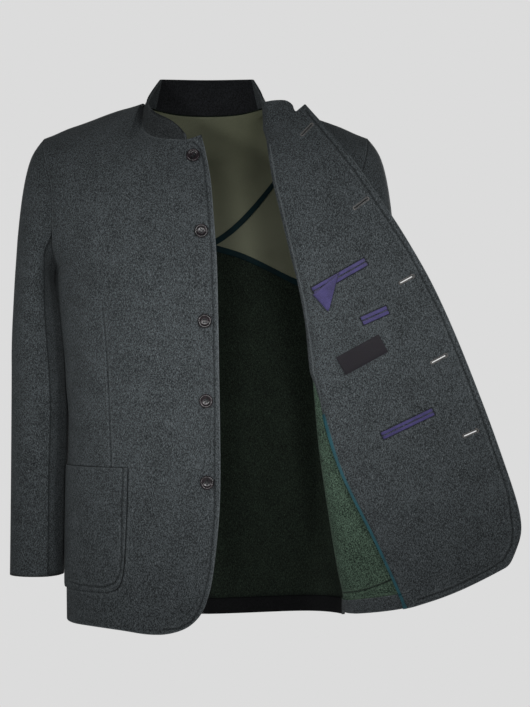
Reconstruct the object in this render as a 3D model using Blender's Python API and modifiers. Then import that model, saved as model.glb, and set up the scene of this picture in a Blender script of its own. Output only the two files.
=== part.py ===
# Trachten jacket with a standing collar, filled out and open.
# The left front is rolled back over the sleeve, so its facing shows.
# Lengths are millimetres in the tables and metres in the finished meshes.
# Frame: +Z up, the front faces -Y, the wearer's left is +X, and the origin
# lies at the back of the neck, level with the collar seam.

import math

import bmesh
import bpy
import numpy as np
from mathutils import Vector

MM = 0.001

# Driving dimensions
CLOTH = 2.0             # loden wall
COLLAR_CLOTH = 1.7      # each layer of the collar
FACING_CLOTH = 1.7      # front facing
LINING = 0.8            # half lining
TAPE = 0.8              # bias binding
POCKET_LIP = 1.2        # jetted pocket lips, tab and label
SEAM = 0.5              # gap between sewn edges
ARMHOLE_SEAM = 0.8
SLEEVE_SEAM = 0.8
LAY = 0.6               # gap under what lies on a panel
TURN_UP = 22.0          # hem turned up inside
SQUARE = 2.2            # squareness of the body sections
SIDE_Y = 3.0            # depth of the widest line of the body
SIDE_SEAM = 96.0        # degrees from centre front to the side seam
SIDE_GAP = 0.13         # degrees left free on each side of that seam
SHOULDER_SLOPE = 20.0   # degrees
SHOULDER_TIP = (234.0, 5.0, -41.0)
BUTTON_INSET = 18.5     # button line to front edge
ROLL_DEPTH = 9.0        # half the depth of the rolled fold

# Body sections: drop below the collar seam, half width, front and back depth,
# and the turn in degrees from centre front at which the front panel ends.
BODY = np.array((
    (75, 258, 108, 100, 61),
    (105, 255, 119, 110, 58),
    (150, 254, 129, 120, 56.5),
    (190, 243, 134, 124, 62),
    (222, 224, 136, 125, 75),
    (240, 218, 137, 125, 96),
    (310, 209, 136, 120, 96),
    (400, 200, 130, 113, 96),
    (480, 200, 128, 114, 96),
    (560, 202, 126, 118, 96),
    (650, 203, 124, 121, 96),
    (760, 202, 121, 122, 96),
))
BODY_DROPS = BODY[:, 0]
UNDERARM_ROW = 5

# Rows of the body panels: drops, stations with the shoulder's and the hem's
# rows, and how many steps fill the gap after each station.
ROW_DROPS = (75, 105, 150, 190, 222, 240, 310, 400, 480, 560, 680)
ROW_STATIONS = (0, 14, *ROW_DROPS, 718, 720, 742)
ROW_COUNTS = (1, 3, 1, 2, 2, 1, 1, 2, 3, 2, 2, 4, 1, 1, 1)
UNDERARM = sum(ROW_COUNTS[:7])
SLEEVE_TURNS = 2 * UNDERARM

# Collar seam of one half, from centre back to the notch: x, y, z.
NECK_SEAM = np.array((
    (0, 75, 0),
    (48, 67, 1),
    (78, 42, 6),
    (92, 5, 10),
    (92, -28, -12),
    (89, -52, -33),
    (80, -72, -44),
    (63, -88, -51),
    (45, -96, -52.5),
    (26, -101, -54),
))
NECK_POINT = 3

# Top edge of the collar over the same stations: x, y, z.
COLLAR_TOP = np.array((
    (0, 62, 50),
    (44, 55, 50),
    (69, 40, 48.5),
    (77, 12, 33),
    (84, -18, 16),
    (86, -42, 2),
    (74, -62, -10),
    (60, -77, -18),
    (42, -89, -27),
    (27, -99, -44),
))

# Left half of the collar, which opens outward: seam x, y, z and top x, y, z.
COLLAR_OPEN = np.array((
    (91, -26, -11, 82, -16, 20),
    (87, -50, -28, 84, -34, 10),
    (88, -66, -35, 88, -50, 4),
    (103, -72, -28.5, 99, -56, 4.5),
    (118, -71, -20.5, 115, -58, 4),
    (129, -69, -14, 124, -61, -3),
))

# Right front edge past the centre line: drop, x towards the left side.
FRONT_EDGE = np.array((
    (46, -4), (97, 8), (156, 13.5), (215, 18), (306, 20.5),
    (417, 22), (577, 22), (656, 15), (691, 7), (716, -1),
))
FRONT_CORNER = (-4, -104, -47)

# Hem of the fronts: share of the width from the front edge, drop.
FRONT_HEM = np.array((
    (0, 716), (0.02, 727), (0.053, 738), (0.115, 744), (0.19, 745.5),
    (0.335, 741), (0.5, 738), (0.75, 737), (1, 733),
))
BACK_HEM = np.array(((0, 745.5), (0.5, 742), (1, 733)))

# Columns of the right front as shares of the width: the third runs to the
# notch and the ninth to the shoulder's neck point.
FRONT_COLUMNS = (0, 0.05, 0.13, 0.17, 0.21, 0.25, 0.29, 0.33, 0.371, 0.46, 0.55, 0.64, 0.73, 0.82, 0.91, 1)
NECK_COLUMN = 8
BACK_COLUMNS = (0, 0.12, 0.24, 0.36, 0.45, 0.54, 0.63, 0.72, 0.81, 0.9, 1)
BACK_NECK_COLUMN = NECK_POINT

# Rolled left front: drop, x of the roll, length of the flap beyond it,
# upward tilt of the flap in degrees, and depth of the flap's front edge.
ROLL = np.array((
    (75, 94.5, 86, 27, -94),
    (110, 99.5, 104, 27, -112),
    (153, 110, 122, 27, -122),
    (195, 120, 137, 26, -127),
    (278, 140, 167, 24, -127),
    (362, 152, 196, 21, -120),
    (446, 158, 224, 19, -113),
    (532, 169, 245, 17, -107),
    (618, 184, 259, 16, -101),
    (700, 199, 254, 17, -94),
    (724, 206, 236, 18.4, -88),
))
FLAP_CORNER = (143.5, -70, -1.5)
FLAP_HEM_SAG = 16.0     # the flap's hem bows below a straight line
STANDING_STEPS = 6
ROLL_STEPS = 4          # columns on each side of the roll's edge
APEX_COLUMN = STANDING_STEPS + ROLL_STEPS
TURN_UP_END = APEX_COLUMN + 8    # the flap's hem is single from there on
SHOULDER_STEPS = 4
FLAP_STEPS = 7
NOTCH_WIDTH = 30.0
EDGE_BAND = 11.0        # last column of the flap
ROLL_STATIONS = (2.25, 2.5, 2.75, 3, 3.175, 3.35, 3.525)
OPEN_STATIONS = np.concatenate(((1, 2), ROLL_STATIONS, np.linspace(3.7, 6, FLAP_STEPS + 1)))
ROLL_REACH = 13.0
FACING_STEP = 1.5       # least width of the facing's columns near its free edge
ROLL_LIFT = 1.2         # the facing stands off where its free edge crosses the roll
ROLL_LIFT_DROP = 330.0

# Inner edge of the facing: drop at the roll, distance along the flap.
FACING_EDGE = np.array((
    (40, -14), (340, -14), (370, -3), (400, 0.5), (446, 8), (532, 26), (618, 56), (700, 83), (729, 94),
))

# Sleeve sections: drop, centre x, centre y, half width, half depth.
SLEEVE = np.array((
    (290, 246.5, 6, 34.5, 72),
    (345, 244.4, 11, 38.1, 68),
    (400, 242.1, 15, 40.9, 64),
    (460, 242.6, 16, 41.1, 60),
    (512, 244.4, 15, 39.6, 57),
    (600, 245.1, 10, 39.2, 52),
    (672, 245.3, 4, 39.2, 49),
))
# Sleeve cap: two rows moved on from the armhole, at the top and the underarm,
# and a row through its outer, front, inner and back points: x, y, z each.
CAP_MOVES = np.array((
    ((15, 2, -17), (5, -1, -7)),
    ((25, 3, -41), (6, -2, -15)),
))
CAP_ROW = np.array(((271, 8, -145), (240, -68, -208), (218.5, 14, -266), (240, 79, -208)))
FRONT_SLEEVE_SEAM = 9    # columns of the sleeve, counted from the shoulder
BACK_SLEEVE_SEAM = 14
LEFT_SLEEVE_BACK = 10.0  # the covered sleeve hangs a little further back
SLEEVE_STATIONS = (0, 12, 35, 80, *(SLEEVE[:, 0] - 160))
SLEEVE_COUNTS = (1, 1, 1, 1, 1, 1, 1, 1, 2, 2)

# Half lining: distance across the back from its own side, lower edge's drop.
LINING_EDGE = np.array((
    (-206, 276), (-146, 258), (-78, 222), (-20, 196), (12, 199),
    (55, 156), (81, 130), (103, 98), (128, 62),
))
TAPE_WIDTH = 9.0
TAPE_START = 420.0      # where the facing's bound edge comes out of the roll
LINING_SIDE = 9         # back column at the lining's own side
LINING_LAY = 0.9
LINING_ROWS = 14
LINING_STEP = 0.05      # least share of a back row between the lining's rows
SHOULDER_TOP = 2.5      # back row where the lining starts below the shoulders
LEFT_LINING_REACH = 2.4     # back column that each panel reaches past the centre
RIGHT_LINING_REACH = 4.6
RIGHT_LINING_TOP = 0.06     # back row where the upper panel starts below the neck
COLLAR_SEAT = 1.2
COLLAR_ROWS = 4

# Patch pocket: drops of its top and bottom edge, width, corner radius, and the
# columns of the fronts that it covers.
POCKET_TOP = 513.0
POCKET_BOTTOM = 687.0
POCKET_WIDTH = 160.0
POCKET_CORNER = 28.0
POCKET_LAY = 0.9
RIGHT_POCKET_COLUMNS = np.linspace(7.4, 14.6, 15)
LEFT_POCKET_COLUMNS = np.array((0.2, *range(1, 17)))

# Inside pockets and label on the facing: centre x, z, length, height, tilt.
BREAST_POCKET = (189, -246, 84, 11.5, 29.5)
PEN_POCKET = (238, -300, 39, 12, 24)
TICKET_POCKET = (284.5, -451, 79, 10.5, 26)
LABEL = (220.7, -354.5, 67, 28, 29)
POCKET_SLIT = 1.2
TAB_CORNERS = ((152, -271), (188.3, -240), (174, -295))
LIP_STEPS = 6

# Buttons of the right front, drops below the collar seam.
BUTTON_DROPS = (76, 183, 308, 419, 532.5)
BUTTON_SIDES = 20
BUTTON_SEAT = 0.6
# Turned profile, from the middle of the face to the middle of the back.
BUTTON_PROFILE = (
    (0, 2.3), (5.2, 2.2), (6.6, 3.5), (8.2, 3.9), (9.4, 3.1), (9.8, 1.9), (8.8, 0.6), (5, 0), (0, 0),
)

MATERIALS = {
    "loden": ((0.045, 0.060, 0.062), 0.92),
    "satin": ((0.050, 0.052, 0.034), 0.45),
    "binding": ((0.016, 0.060, 0.070), 0.60),
    "pocket_cloth": ((0.095, 0.080, 0.260), 0.50),
    "label_cloth": ((0.024, 0.022, 0.030), 0.70),
    "horn": ((0.055, 0.030, 0.032), 0.35),
}


def spline(stations, values, at):
    stations = np.asarray(stations, float)
    values = np.asarray(values, float)
    at = np.clip(np.asarray(at, float), stations[0], stations[-1])
    slopes = np.gradient(values, stations, axis=0)
    low = np.clip(np.searchsorted(stations, at) - 1, 0, len(stations) - 2)
    width = stations[low + 1] - stations[low]
    t = (at - stations[low]) / width
    extra = (slice(None),) * at.ndim + (None,) * (values.ndim - 1)
    t, width = t[extra] if at.ndim else t, width[extra] if at.ndim else width
    start, end = values[low], values[low + 1]
    lead = (2 * t + 1) * (t - 1) ** 2 * start + t * t * (3 - 2 * t) * end
    return lead + width * (t * (t - 1) ** 2 * slopes[low] + t * t * (t - 1) * slopes[low + 1])


def signed_power(value, power):
    return np.sign(value) * np.abs(value) ** power


def torso(drop, turn):
    # A point of the body, on the +X side, at a drop and a turn from centre front.
    half, front, back = (spline(BODY_DROPS, BODY[:, i], drop) for i in (1, 2, 3))
    angle = np.radians(turn)
    forward = signed_power(np.cos(angle), 2 / SQUARE)
    x = half * signed_power(np.sin(angle), 2 / SQUARE)
    y = SIDE_Y - np.where(forward > 0, front, back) * forward
    return np.stack(np.broadcast_arrays(x, y, -np.asarray(drop, float)), axis=-1)


def turn_at(drop, x):
    # The front turn at which the body reaches x.
    half = spline(BODY_DROPS, BODY[:, 1], drop)
    return np.degrees(np.arcsin(signed_power(np.clip(x / half, -0.99, 0.99), SQUARE / 2)))


def panel_end(drop):
    return float(spline(BODY_DROPS, BODY[:, 4], drop)) if drop < BODY_DROPS[UNDERARM_ROW] else SIDE_SEAM


def side_gap(drop):
    return SIDE_GAP if drop >= BODY_DROPS[UNDERARM_ROW] else 0.0


def fill_rows(rows, stations, counts):
    # More rows between the given ones, on smooth lines down the columns.
    at = [stations[0]]
    for low, high, count in zip(stations, stations[1:], counts):
        at.extend(low + (high - low) * (k + 1) / count for k in range(count))
    return spline(stations, np.asarray(rows, float), np.array(at))


def fill_panel(rows):
    # The underarm row is a corner of the outline, so the lines stop there.
    cut = ROW_STATIONS.index(ROW_DROPS[UNDERARM_ROW])
    upper = fill_rows(rows[:cut + 1], ROW_STATIONS[:cut + 1], ROW_COUNTS[:cut])
    lower = fill_rows(rows[cut:], ROW_STATIONS[cut:], ROW_COUNTS[cut:])
    return np.concatenate((upper, lower[1:]))


def grid_normals(points):
    down = np.gradient(points, axis=0)
    across = np.gradient(points, axis=1)
    return unit(np.cross(across, down))


def shoulder_seam(share):
    neck = NECK_SEAM[NECK_POINT]
    tip = np.array(SHOULDER_TIP)
    share = np.asarray(share, float)[:, None]
    return neck + (tip - neck) * share


def mirrored(points):
    return points * np.array((-1.0, 1.0, 1.0))


def hem_rows(rows, hem):
    # The last rows: just above the turned-up hem, at its edge, and the hem.
    last = rows[-1]
    down = hem - last
    reach = np.linalg.norm(down, axis=1, keepdims=True)
    return rows + [hem - down / reach * (TURN_UP + 1.5), hem - down / reach * TURN_UP, hem]


def rounded_shoulder(top, below, first, last, forward):
    # A row close to the shoulder seam that keeps the shoulder's top round.
    row = top + (below - top) * 0.18
    ease = np.zeros(len(top))
    ease[first:last + 1] = 1.0
    lift = (top[:, 2] - row[:, 2]) * 0.75 * ease
    row[:, 1] += forward * 5.0 * ease
    row[:, 2] += lift
    return row


def right_front_points():
    # Built on the +X side and mirrored: the front edge is the first column.
    neckline = NECK_SEAM[NECK_POINT:][::-1]
    shares = np.linspace(0, 1, len(FRONT_COLUMNS) - NECK_COLUMN)
    seam = shoulder_seam(shares) - np.array((0, SEAM / 2, 0))
    corner = np.array(FRONT_CORNER) * np.array((-1, 1, 1))
    top = np.vstack((corner, (corner + neckline[0]) / 2, neckline[:-1], seam))
    rows = [top]
    for drop in ROW_DROPS:
        edge = turn_at(drop, -float(spline(FRONT_EDGE[:, 0], FRONT_EDGE[:, 1], drop)))
        end = panel_end(drop) - side_gap(drop)
        rows.append(torso(drop, edge + (end - edge) * np.array(FRONT_COLUMNS)))
    rows.insert(1, rounded_shoulder(top, rows[1], NECK_COLUMN, len(FRONT_COLUMNS) - 1, -1))
    drops = spline(FRONT_HEM[:, 0], FRONT_HEM[:, 1], np.array(FRONT_COLUMNS))
    edge = turn_at(drops[0], -float(FRONT_EDGE[-1, 1]))
    turns = edge + (SIDE_SEAM - side_gap(drops[0]) - edge) * np.array(FRONT_COLUMNS)
    hem = np.array([torso(drop, turn) for drop, turn in zip(drops, turns)])
    rows = hem_rows(rows, hem)
    return mirrored(fill_panel(rows))


def back_points():
    # One half on the +X side: the centre seam is the first column.
    neckline = NECK_SEAM[:NECK_POINT + 1]
    shares = np.linspace(0, 1, len(BACK_COLUMNS) - BACK_NECK_COLUMN)
    seam = shoulder_seam(shares) + np.array((0, SEAM / 2, 0))
    top = np.vstack((neckline[:-1], seam))
    rows = [top]
    for drop in ROW_DROPS:
        end = 180 - panel_end(drop) if drop < BODY_DROPS[UNDERARM_ROW] else SIDE_SEAM + side_gap(drop)
        rows.append(torso(drop, 180 + (end - 180) * np.array(BACK_COLUMNS)))
    rows.insert(1, rounded_shoulder(top, rows[1], BACK_NECK_COLUMN, len(BACK_COLUMNS) - 1, 1))
    drops = spline(BACK_HEM[:, 0], BACK_HEM[:, 1], np.array(BACK_COLUMNS))
    end = SIDE_SEAM + side_gap(drops[0])
    turns = 180 + (end - 180) * np.array(BACK_COLUMNS)
    hem = np.array([torso(drop, turn) for drop, turn in zip(drops, turns)])
    points = fill_panel(hem_rows(rows, hem))
    points[:, 0, 0] = SEAM / 2
    return points


def left_row(drop):
    # From the armhole or side seam to the roll, round it and out along the flap.
    roll_x, length, tilt, edge_y = (float(spline(ROLL[:, 0], ROLL[:, i], drop)) for i in (1, 2, 3, 4))
    end = panel_end(drop) - side_gap(drop)
    roll_turn = min(float(turn_at(drop, roll_x)), end - 14)
    on_body = torso(drop, roll_turn)
    degree = np.linalg.norm(torso(drop, roll_turn + 1) - on_body)
    start_turn = min(roll_turn + 16 / degree, end - 6)
    standing = torso(drop, np.linspace(end, start_turn, STANDING_STEPS + 1))
    apex = np.array((roll_x, on_body[1] - 6, -drop))
    reach = np.array((math.cos(math.radians(tilt)), 0, math.sin(math.radians(tilt))))
    flap_y = apex[1] - ROLL_DEPTH

    def flap(distance):
        share = np.asarray(distance) / length
        points = apex + np.multiply.outer(distance, reach)
        points[..., 1] = flap_y + (edge_y - flap_y) * (1 - (1 - share) ** 3)
        return points

    flat = np.linspace(ROLL_REACH, length - NOTCH_WIDTH, FLAP_STEPS + 1)
    flap_points = flap(np.append(flat, (length - EDGE_BAND, length)))
    bend = np.vstack((standing[-2:], apex, flap_points[:2]))
    steps = np.linalg.norm(np.diff(bend, axis=0), axis=1)
    stations = np.concatenate(([0.0], np.cumsum(steps)))
    before = spline(stations, bend, np.linspace(stations[1], stations[2], ROLL_STEPS + 1)[1:-1])
    after = spline(stations, bend, np.linspace(stations[2], stations[3], ROLL_STEPS + 1)[1:-1])
    return np.vstack((standing, before, apex, after, flap_points))


def left_front_points():
    # The side seam and armhole are the first column, the front edge the last.
    seam = shoulder_seam(np.linspace(1, 0, SHOULDER_STEPS + 1)) - np.array((0, SEAM / 2, 0))
    neck = np.vstack((NECK_SEAM[NECK_POINT], COLLAR_OPEN[:, :3]))
    neckline = spline(np.arange(len(neck)), neck, OPEN_STATIONS)
    corner = np.array(FLAP_CORNER)
    top = np.vstack((seam, neckline, (corner + neckline[-1]) / 2, corner))
    rows = [top] + [left_row(drop) for drop in ROW_DROPS]
    rows.insert(1, rounded_shoulder(top, rows[1], 0, SHOULDER_STEPS, -1))
    hem = left_row(ROLL[-1, 0])
    beyond = (hem[APEX_COLUMN:, 0] - hem[APEX_COLUMN, 0]) / (hem[-1, 0] - hem[APEX_COLUMN, 0])
    hem[APEX_COLUMN:, 2] -= FLAP_HEM_SAG * np.sin(np.pi * np.clip(beyond, 0, 1))
    hem[:STANDING_STEPS + 1, 2] = np.linspace(-FRONT_HEM[-1, 1], hem[STANDING_STEPS, 2], STANDING_STEPS + 1)
    return fill_panel(hem_rows(rows, hem))


def set_seam_normals(points, normals, side_column, shoulder_columns, centre_column=None):
    # Neighbouring panels share the normals of the seam between them.
    outward = np.sign(points[-1, side_column, 0])
    for row in range(len(points)):
        drop = -points[row, side_column, 2]
        if drop >= BODY_DROPS[UNDERARM_ROW] - 0.01:
            around = torso(drop, SIDE_SEAM + 1) - torso(drop, SIDE_SEAM - 1)
            down = torso(drop + 4, SIDE_SEAM) - torso(drop - 4, SIDE_SEAM)
            normal = np.cross(around, down)
            normal *= np.sign(normal[0]) / np.linalg.norm(normal)
            normals[row, side_column] = normal * np.array((outward, 1, 1))
    slope = math.radians(SHOULDER_SLOPE)
    for column in shoulder_columns:
        normals[0, column] = (outward * math.sin(slope), 0, math.cos(slope))
    if centre_column is not None:
        normals[:, centre_column, 0] = 0
        lengths = np.linalg.norm(normals[:, centre_column], axis=1, keepdims=True)
        normals[:, centre_column] /= lengths


def outward_normals(points, probe):
    normals = grid_normals(points)
    row, column = probe
    away = points[row, column] * np.array((1, 1, 0))
    return normals if np.dot(normals[row, column], away) > 0 else -normals


def hem_walls(points):
    # The wall doubles where the hem is turned up.
    walls = np.full(points.shape[:2] + (1,), CLOTH)
    walls[-2:] = 2 * CLOTH
    return walls


def finish(name, mesh, material):
    surface = bpy.data.materials.get(material)
    mesh.materials.append(surface)
    piece = bpy.data.objects.new(name, mesh)
    jacket.objects.link(piece)
    return piece


def slab(name, outer, inner, material):
    # A closed sheet between two lattices of points. Every quad is split along
    # the same diagonal, so that layers made from the same points stay apart.
    rows, columns = outer.shape[:2]
    sheet = bmesh.new()
    bmesh.ops.create_grid(sheet, x_segments=columns - 1, y_segments=rows - 1, size=0.5)
    extruded = bmesh.ops.extrude_face_region(sheet, geom=sheet.faces[:])
    raised = [item for item in extruded["geom"] if isinstance(item, bmesh.types.BMVert)]
    bmesh.ops.translate(sheet, verts=raised, vec=(0, 0, 1))
    bmesh.ops.recalc_face_normals(sheet, faces=sheet.faces[:])
    for face in [face for face in sheet.faces if abs(face.normal.z) > 0.5]:
        corners = sorted(face.verts, key=lambda vert: vert.co.x + vert.co.y)
        bmesh.utils.face_split(face, corners[0], corners[-1])
    for vert in sheet.verts:
        column = round((vert.co.x + 0.5) * (columns - 1))
        row = round((vert.co.y + 0.5) * (rows - 1))
        side = inner if vert.co.z > 0.5 else outer
        vert.co = side[row, column] * MM
    if sheet.calc_volume(signed=True) < 0:
        bmesh.ops.reverse_faces(sheet, faces=sheet.faces[:])
    mesh = bpy.data.meshes.new(name)
    sheet.to_mesh(mesh)
    sheet.free()
    mesh.shade_smooth()
    mesh.set_sharp_from_angle(angle=math.radians(40))
    return finish(name, mesh, material)


def layer(name, points, normals, above, thickness, material):
    # A sheet that lies a distance above the given points.
    return slab(name, points + normals * (above + thickness), points + normals * above, material)


def lattice(values, rows, columns):
    # Values between the points of a grid, at fractional rows and columns.
    rows = np.clip(rows, 0, values.shape[0] - 1.0)
    columns = np.clip(columns, 0, values.shape[1] - 1.0)
    low_row = np.minimum(rows.astype(int), values.shape[0] - 2)
    low_column = np.minimum(columns.astype(int), values.shape[1] - 2)
    r = (rows - low_row)[..., None]
    c = (columns - low_column)[..., None]
    upper = values[low_row, low_column] * (1 - c) + values[low_row, low_column + 1] * c
    lower = values[low_row + 1, low_column] * (1 - c) + values[low_row + 1, low_column + 1] * c
    return upper * (1 - r) + lower * r


def unit(vectors):
    return vectors / np.linalg.norm(vectors, axis=-1, keepdims=True)


def row_at_drop(points, column, drop):
    return float(np.interp(drop, -points[:, column, 2], np.arange(len(points))))


def find_on(points, x, z):
    # Fractional row and column of a front-facing grid at a place seen from the front.
    centre = np.unravel_index(np.argmin(np.hypot(points[..., 0] - x, points[..., 2] - z)), points.shape[:2])
    place = np.array(centre, float)
    step = 0.05
    for _ in range(20):
        here = lattice(points, place[0:1], place[1:2])[0]
        by_row = (lattice(points, place[0:1] + step, place[1:2])[0] - here) / step
        by_column = (lattice(points, place[0:1], place[1:2] + step)[0] - here) / step
        jacobian = np.array(((by_row[0], by_column[0]), (by_row[2], by_column[2])))
        move = np.linalg.solve(jacobian, np.array((x - here[0], z - here[2])))
        place = np.clip(place + np.clip(move, -1.5, 1.5), 0, np.array(points.shape[:2]) - 1.06)
    return place


def strip_on(name, points, normals, places, above, thickness, material):
    # A small piece laid on a grid; places are rows of (x, z) seen from the front.
    found = np.array([[find_on(points, x, z) for x, z in row] for row in places])
    seats = lattice(points, found[..., 0], found[..., 1])
    facing = unit(lattice(normals, found[..., 0], found[..., 1]))
    return layer(name, seats, facing, above, thickness, material)


def tilted_box(centre_x, centre_z, length, height, tilt, steps, low=-0.5, high=0.5):
    cos, sin = math.cos(math.radians(tilt)), math.sin(math.radians(tilt))
    rows = []
    for up in (high * height, low * height):
        run = np.linspace(-length / 2, length / 2, steps + 1)
        rows.append([(centre_x + a * cos - up * sin, centre_z + a * sin + up * cos) for a in run])
    return rows


def patch_pocket(name, points, normals, columns, side_column):
    height = POCKET_BOTTOM - POCKET_TOP
    shares = np.linspace(0, 1 - POCKET_CORNER / height, 5)
    curve = [1 - POCKET_CORNER / height * (1 - math.sin(math.radians(a))) for a in (30, 60, 90)]
    insets = [0.0] * 5 + [POCKET_CORNER * (1 - math.cos(math.radians(a))) for a in (30, 60, 90)]
    rows, cols = [], []
    first, last = columns[0], columns[-1]
    for share, inset in zip(list(shares) + curve, insets):
        row = row_at_drop(points, side_column, POCKET_TOP + share * height)
        squeeze = 1 - 2 * inset / POCKET_WIDTH
        middle = (first + last) / 2
        rows.append([row] * len(columns))
        cols.append([middle + (c - middle) * squeeze for c in columns])
    rows, cols = np.array(rows), np.array(cols)
    seats = lattice(points, rows, cols)
    outward = unit(lattice(normals, rows, cols))
    return layer(name, seats, outward, POCKET_LAY, CLOTH, "loden")


def sleeve_points(front_edge, back_edge, side):
    # Rows of rings from the armhole to the cuff, on the +X side.
    rings = [np.vstack((front_edge, back_edge[::-1][1:]))]
    steps = np.linalg.norm(np.diff(rings[0], axis=0), axis=1)
    length = np.concatenate(([0.0], np.cumsum(steps)))
    half = length[UNDERARM]
    turn = np.where(length <= half, length / half, 1 + (length - half) / (length[-1] - half)) * math.pi
    turn = turn[:, None]
    for outer, inner in CAP_MOVES:
        rings.append(rings[0] + (outer + inner) / 2 + (outer - inner) / 2 * np.cos(turn))
    outer, front_line, inner, back_line = CAP_ROW
    sway = (outer - front_line + inner - back_line) / 4
    ring = CAP_ROW.mean(axis=0) + (outer - inner) / 2 * np.cos(turn)
    rings.append(ring + (front_line - back_line) / 2 * np.sin(turn) + sway * np.cos(2 * turn))
    for drop, x, y, wide, deep in SLEEVE:
        cos = signed_power(np.cos(turn[:, 0]), 2 / SQUARE)
        sin = signed_power(np.sin(turn[:, 0]), 2 / SQUARE)
        rings.append(np.stack((x + wide * cos, y - deep * sin, np.full(len(turn), -drop)), axis=1))
    points = fill_rows(rings, SLEEVE_STATIONS, SLEEVE_COUNTS)
    if side > 0:
        fade = np.clip((-points[..., 2] - 150) / 200, 0, 1)
        points[..., 1] += LEFT_SLEEVE_BACK * fade * fade * (3 - 2 * fade)
    return points


def sleeve_pieces(prefix, points, normals, side):
    whole = points * np.array((side, 1, 1))
    outward = normals * np.array((side, 1, 1))
    inner = whole - outward * CLOTH
    ring = SLEEVE_TURNS
    half_gap = SLEEVE_SEAM / 2
    spans = {
        "top": (BACK_SLEEVE_SEAM - ring, FRONT_SLEEVE_SEAM),
        "under": (FRONT_SLEEVE_SEAM, BACK_SLEEVE_SEAM),
    }
    for kind, (first, last) in spans.items():
        columns = [c % ring for c in range(first, last + 1)]
        outer_part = whole[:, columns].copy()
        inner_part = inner[:, columns].copy()
        for part in (outer_part, inner_part):
            for edge, near in ((0, 1), (-1, -2)):
                seam = unit(np.gradient(part[:, edge], axis=0))
                inwards = part[:, near] - part[:, edge]
                inwards -= seam * np.sum(inwards * seam, axis=1, keepdims=True)
                part[:, edge] += unit(inwards) * half_gap
        slab(f"{prefix}_{kind}_sleeve", outer_part, inner_part, "loden")


def sleeve(prefix, front, front_normals, back, back_normals, side):
    # The cap's top row lies a seam's gap beyond the armhole edges.
    edges, rims = [], []
    for points, normals in ((front, front_normals), (back, back_normals)):
        edge = points[:UNDERARM + 1, -1]
        away = unit(edge - points[:UNDERARM + 1, -2])
        edges.append(edge + away * ARMHOLE_SEAM)
        rims.append(normals[:UNDERARM + 1, -1])
    points = sleeve_points(edges[0], edges[1], side)
    wrapped = np.concatenate((points[:, -2:-1], points, points[:, 1:2]), axis=1)
    normals = grid_normals(wrapped)[:, 1:-1]
    normals *= np.sign(normals[-1, 0, 0])
    rim = np.vstack((rims[0], rims[1][::-1][1:]))
    share = np.abs(np.linspace(1, -1, len(rim)))[:, None]
    normals[0] = unit(normals[0] * (1 - share) + rim * share)
    sleeve_pieces(prefix, points, normals, side)


def collar():
    lines = []
    for line, opened in ((NECK_SEAM, COLLAR_OPEN[:, :3]), (COLLAR_TOP, COLLAR_OPEN[:, 3:])):
        left = np.vstack((line[NECK_POINT], opened))
        left = spline(np.arange(len(left)), left, OPEN_STATIONS)
        lines.append(np.vstack((mirrored(line[:0:-1]), line[:NECK_POINT + 1], left)))
    seam, top = lines
    seam = seam + unit(top - seam) * COLLAR_SEAT
    rise = np.linspace(0, 1, COLLAR_ROWS)[:, None, None]
    points = seam + (top - seam) * rise
    normals = outward_normals(points, (1, len(NECK_SEAM) - 1))
    slab("collar_outer", points, points - normals * COLLAR_CLOTH, "loden")
    under = points - normals * (COLLAR_CLOTH + 0.4)
    slab("collar_inner", under, under - normals * COLLAR_CLOTH, "loden")


def lining(name, side, back, normals, above, reach, top):
    # One panel runs from its own side across the centre; side is +1 or -1.
    far = [reach] + list(range(int(reach), 0, -1))
    own = list(range(LINING_SIDE + 1))
    columns = [(-side, c) for c in far] + [(side, c) for c in own]
    seats, inward, tape_rows, lines = [], [], [], []
    for half, column in columns:
        spots = np.full(len(back), float(column))
        line = lattice(back, np.arange(len(back), dtype=float), spots) * np.array((half, 1, 1))
        edge = np.interp(-side * line[:, 0], LINING_EDGE[:, 0], LINING_EDGE[:, 1])
        row = float(np.interp(0, -line[:, 2] - edge, np.arange(len(back))))
        lines.append((half, column, row, line))
    ends = [np.array([np.interp(row, np.arange(len(line)), line[:, k]) for k in range(3)])
            for _, _, row, line in lines]
    for index, (half, column, row, line) in enumerate(lines):
        first = top if column <= BACK_NECK_COLUMN else SHOULDER_TOP
        count = np.arange(LINING_ROWS)
        rows = np.maximum(count, first + LINING_STEP * count)
        rows = np.minimum(rows, row - LINING_STEP * count[::-1])
        spots = np.full(LINING_ROWS, float(column))
        mirror = np.array((half, 1, 1))
        seats.append(lattice(back, rows, spots) * mirror)
        inward.append(-unit(lattice(normals, rows, spots)) * mirror)
        before, after = ends[max(index - 1, 0)], ends[min(index + 1, len(ends) - 1)]
        slope = (after - before) / np.linalg.norm(after - before)
        tall = TAPE_WIDTH / max(math.hypot(slope[0], slope[1]), 0.5)
        high = float(np.interp(-ends[index][2] - tall, -line[:, 2], np.arange(len(line))))
        tape_rows.append(float(np.interp(high, rows, count)))
    seats, inward = np.array(seats).swapaxes(0, 1), np.array(inward).swapaxes(0, 1)
    layer(name, seats, inward, CLOTH + above, LINING, "satin")
    rows = np.array((tape_rows, np.full(len(tape_rows), LINING_ROWS - 1.0)))
    spots = np.tile(np.arange(len(tape_rows), dtype=float), (2, 1))
    edge, facing_in = lattice(seats, rows, spots), unit(lattice(inward, rows, spots))
    layer(name + "_binding", edge, facing_in, CLOTH + above + LINING + LAY, TAPE, "binding")


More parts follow.
